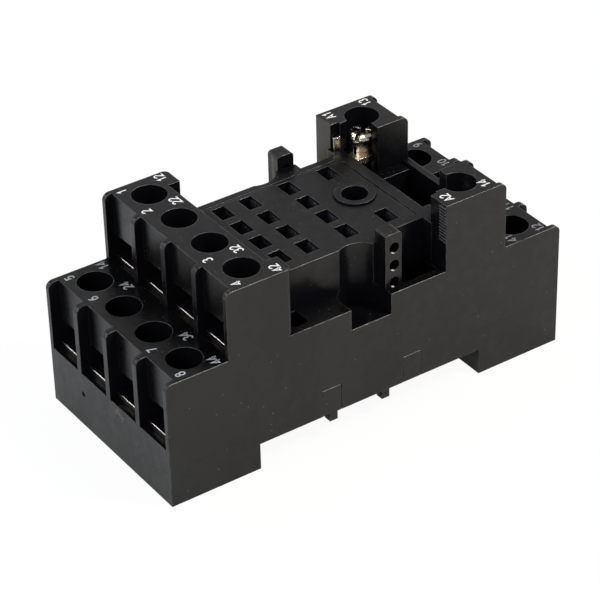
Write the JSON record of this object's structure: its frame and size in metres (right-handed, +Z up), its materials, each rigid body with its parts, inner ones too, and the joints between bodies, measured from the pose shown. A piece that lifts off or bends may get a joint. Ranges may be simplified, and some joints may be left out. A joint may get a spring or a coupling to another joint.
{
  "type": "relay socket",
  "caption": "Relay socket with two tiers of screw terminals at each end, a slotted contact platform between them, and feet that grip a mounting rail",
  "frame": {"origin": "middle of the footprint at the underside of the rail feet", "axes": "+X along the socket from the end with terminals 1 to 8 to the coil end, +Y across it towards terminals 1, 5, 9 and 13, +Z up, out of the contact platform"},
  "size_m": [0.063, 0.0296, 0.029],
  "materials": {
    "housing_black": "semi-matt moulded thermoplastic",
    "cover_black": "semi-matt moulded thermoplastic",
    "latch_black": "semi-matt moulded thermoplastic",
    "strip_brass": "bright pressed brass",
    "clamp_plated": "bright plated, warm tint",
    "washer_steel": "plated spring steel",
    "screw_plated": "bright nickel plated"
  },
  "bodies": {
    "socket": {"housing": "housing_black", "base_cover": "cover_black", "contact_strip_01": "strip_brass", "contact_strip_02": "strip_brass", "contact_strip_03": "strip_brass", "contact_strip_04": "strip_brass", "contact_strip_05": "strip_brass", "contact_strip_06": "strip_brass", "contact_strip_07": "strip_brass", "contact_strip_08": "strip_brass", "contact_strip_09": "strip_brass", "contact_strip_10": "strip_brass", "contact_strip_11": "strip_brass", "contact_strip_12": "strip_brass", "contact_strip_13": "strip_brass", "contact_strip_14": "strip_brass"},
    "clamp_01": {"clamp_plate_01": "clamp_plated", "spring_washer_01": "washer_steel"},
    "screw_01": {"screw_01": "screw_plated"},
    "clamp_02": {"clamp_plate_02": "clamp_plated", "spring_washer_02": "washer_steel"},
    "screw_02": {"screw_02": "screw_plated"},
    "clamp_03": {"clamp_plate_03": "clamp_plated", "spring_washer_03": "washer_steel"},
    "screw_03": {"screw_03": "screw_plated"},
    "clamp_04": {"clamp_plate_04": "clamp_plated", "spring_washer_04": "washer_steel"},
    "screw_04": {"screw_04": "screw_plated"},
    "clamp_05": {"clamp_plate_05": "clamp_plated", "spring_washer_05": "washer_steel"},
    "screw_05": {"screw_05": "screw_plated"},
    "clamp_06": {"clamp_plate_06": "clamp_plated", "spring_washer_06": "washer_steel"},
    "screw_06": {"screw_06": "screw_plated"},
    "clamp_07": {"clamp_plate_07": "clamp_plated", "spring_washer_07": "washer_steel"},
    "screw_07": {"screw_07": "screw_plated"},
    "clamp_08": {"clamp_plate_08": "clamp_plated", "spring_washer_08": "washer_steel"},
    "screw_08": {"screw_08": "screw_plated"},
    "clamp_09": {"clamp_plate_09": "clamp_plated", "spring_washer_09": "washer_steel"},
    "screw_09": {"screw_09": "screw_plated"},
    "clamp_10": {"clamp_plate_10": "clamp_plated", "spring_washer_10": "washer_steel"},
    "screw_10": {"screw_10": "screw_plated"},
    "clamp_11": {"clamp_plate_11": "clamp_plated", "spring_washer_11": "washer_steel"},
    "screw_11": {"screw_11": "screw_plated"},
    "clamp_12": {"clamp_plate_12": "clamp_plated", "spring_washer_12": "washer_steel"},
    "screw_12": {"screw_12": "screw_plated"},
    "clamp_13": {"clamp_plate_13": "clamp_plated", "spring_washer_13": "washer_steel"},
    "screw_13": {"screw_13": "screw_plated"},
    "clamp_14": {"clamp_plate_14": "clamp_plated", "spring_washer_14": "washer_steel"},
    "screw_14": {"screw_14": "screw_plated"},
    "latch": {"rail_latch": "latch_black"}
  },
  "joints": [
    {"name": "clamp_lift_01", "type": "slide", "parent": "socket", "child": "clamp_01", "axis": [0, 0, 1], "range_m": [-0.0026, 0.0009]},
    {"name": "screw_turn_01", "type": "hinge", "parent": "clamp_01", "child": "screw_01", "pos_m": [-0.01715, 0.01087, 0.0223], "axis": [0, 0, 1], "range_deg": [-1874, 650]},
    {"name": "clamp_lift_02", "type": "slide", "parent": "socket", "child": "clamp_02", "axis": [0, 0, 1], "range_m": [-0.0026, 0.0009]},
    {"name": "screw_turn_02", "type": "hinge", "parent": "clamp_02", "child": "screw_02", "pos_m": [-0.01715, 0.00363, 0.0223], "axis": [0, 0, 1], "range_deg": [-1874, 650]},
    {"name": "clamp_lift_03", "type": "slide", "parent": "socket", "child": "clamp_03", "axis": [0, 0, 1], "range_m": [-0.0026, 0.0009]},
    {"name": "screw_turn_03", "type": "hinge", "parent": "clamp_03", "child": "screw_03", "pos_m": [-0.01715, -0.00363, 0.0223], "axis": [0, 0, 1], "range_deg": [-1874, 650]},
    {"name": "clamp_lift_04", "type": "slide", "parent": "socket", "child": "clamp_04", "axis": [0, 0, 1], "range_m": [-0.0026, 0.0009]},
    {"name": "screw_turn_04", "type": "hinge", "parent": "clamp_04", "child": "screw_04", "pos_m": [-0.01715, -0.01087, 0.0223], "axis": [0, 0, 1], "range_deg": [-1874, 650]},
    {"name": "clamp_lift_05", "type": "slide", "parent": "socket", "child": "clamp_05", "axis": [0, 0, 1], "range_m": [-0.0026, 0.0009]},
    {"name": "screw_turn_05", "type": "hinge", "parent": "clamp_05", "child": "screw_05", "pos_m": [-0.0262, 0.01087, 0.0122], "axis": [0, 0, 1], "range_deg": [-1874, 650]},
    {"name": "clamp_lift_06", "type": "slide", "parent": "socket", "child": "clamp_06", "axis": [0, 0, 1], "range_m": [-0.0026, 0.0009]},
    {"name": "screw_turn_06", "type": "hinge", "parent": "clamp_06", "child": "screw_06", "pos_m": [-0.0262, 0.00363, 0.0122], "axis": [0, 0, 1], "range_deg": [-1874, 650]},
    {"name": "clamp_lift_07", "type": "slide", "parent": "socket", "child": "clamp_07", "axis": [0, 0, 1], "range_m": [-0.0026, 0.0009]},
    {"name": "screw_turn_07", "type": "hinge", "parent": "clamp_07", "child": "screw_07", "pos_m": [-0.0262, -0.00363, 0.0122], "axis": [0, 0, 1], "range_deg": [-1874, 650]},
    {"name": "clamp_lift_08", "type": "slide", "parent": "socket", "child": "clamp_08", "axis": [0, 0, 1], "range_m": [-0.0026, 0.0009]},
    {"name": "screw_turn_08", "type": "hinge", "parent": "clamp_08", "child": "screw_08", "pos_m": [-0.0262, -0.01087, 0.0122], "axis": [0, 0, 1], "range_deg": [-1874, 650]},
    {"name": "clamp_lift_09", "type": "slide", "parent": "socket", "child": "clamp_09", "axis": [0, 0, 1], "range_m": [-0.0026, 0.0009]},
    {"name": "screw_turn_09", "type": "hinge", "parent": "clamp_09", "child": "screw_09", "pos_m": [0.0262, 0.01087, 0.0122], "axis": [0, 0, 1], "range_deg": [-1874, 650]},
    {"name": "clamp_lift_10", "type": "slide", "parent": "socket", "child": "clamp_10", "axis": [0, 0, 1], "range_m": [-0.0026, 0.0009]},
    {"name": "screw_turn_10", "type": "hinge", "parent": "clamp_10", "child": "screw_10", "pos_m": [0.0262, 0.00363, 0.0122], "axis": [0, 0, 1], "range_deg": [-1874, 650]},
    {"name": "clamp_lift_11", "type": "slide", "parent": "socket", "child": "clamp_11", "axis": [0, 0, 1], "range_m": [-0.0026, 0.0009]},
    {"name": "screw_turn_11", "type": "hinge", "parent": "clamp_11", "child": "screw_11", "pos_m": [0.0262, -0.00363, 0.0122], "axis": [0, 0, 1], "range_deg": [-1874, 650]},
    {"name": "clamp_lift_12", "type": "slide", "parent": "socket", "child": "clamp_12", "axis": [0, 0, 1], "range_m": [-0.0026, 0.0009]},
    {"name": "screw_turn_12", "type": "hinge", "parent": "clamp_12", "child": "screw_12", "pos_m": [0.0262, -0.01087, 0.0122], "axis": [0, 0, 1], "range_deg": [-1874, 650]},
    {"name": "clamp_lift_13", "type": "slide", "parent": "socket", "child": "clamp_13", "axis": [0, 0, 1], "range_m": [-0.0035, 0]},
    {"name": "screw_turn_13", "type": "hinge", "parent": "clamp_13", "child": "screw_13", "pos_m": [0.01715, 0.01087, 0.0232], "axis": [0, 0, 1], "range_deg": [-2522, 0]},
    {"name": "clamp_lift_14", "type": "slide", "parent": "socket", "child": "clamp_14", "axis": [0, 0, 1], "range_m": [-0.0026, 0.0009]},
    {"name": "screw_turn_14", "type": "hinge", "parent": "clamp_14", "child": "screw_14", "pos_m": [0.01715, -0.01087, 0.0223], "axis": [0, 0, 1], "range_deg": [-1874, 650]},
    {"name": "latch_slide", "type": "slide", "parent": "socket", "child": "latch", "axis": [1, 0, 0], "range_m": [0, 0.002], "stiffness_N_per_m": 1500, "springref_m": -0.001}
  ],
  "couplings": [
    {"joint": "screw_turn_01", "follows": "clamp_lift_01", "rad_per_m": 12566},
    {"joint": "screw_turn_02", "follows": "clamp_lift_02", "rad_per_m": 12566},
    {"joint": "screw_turn_03", "follows": "clamp_lift_03", "rad_per_m": 12566},
    {"joint": "screw_turn_04", "follows": "clamp_lift_04", "rad_per_m": 12566},
    {"joint": "screw_turn_05", "follows": "clamp_lift_05", "rad_per_m": 12566},
    {"joint": "screw_turn_06", "follows": "clamp_lift_06", "rad_per_m": 12566},
    {"joint": "screw_turn_07", "follows": "clamp_lift_07", "rad_per_m": 12566},
    {"joint": "screw_turn_08", "follows": "clamp_lift_08", "rad_per_m": 12566},
    {"joint": "screw_turn_09", "follows": "clamp_lift_09", "rad_per_m": 12566},
    {"joint": "screw_turn_10", "follows": "clamp_lift_10", "rad_per_m": 12566},
    {"joint": "screw_turn_11", "follows": "clamp_lift_11", "rad_per_m": 12566},
    {"joint": "screw_turn_12", "follows": "clamp_lift_12", "rad_per_m": 12566},
    {"joint": "screw_turn_13", "follows": "clamp_lift_13", "rad_per_m": 12566},
    {"joint": "screw_turn_14", "follows": "clamp_lift_14", "rad_per_m": 12566}
  ]
}
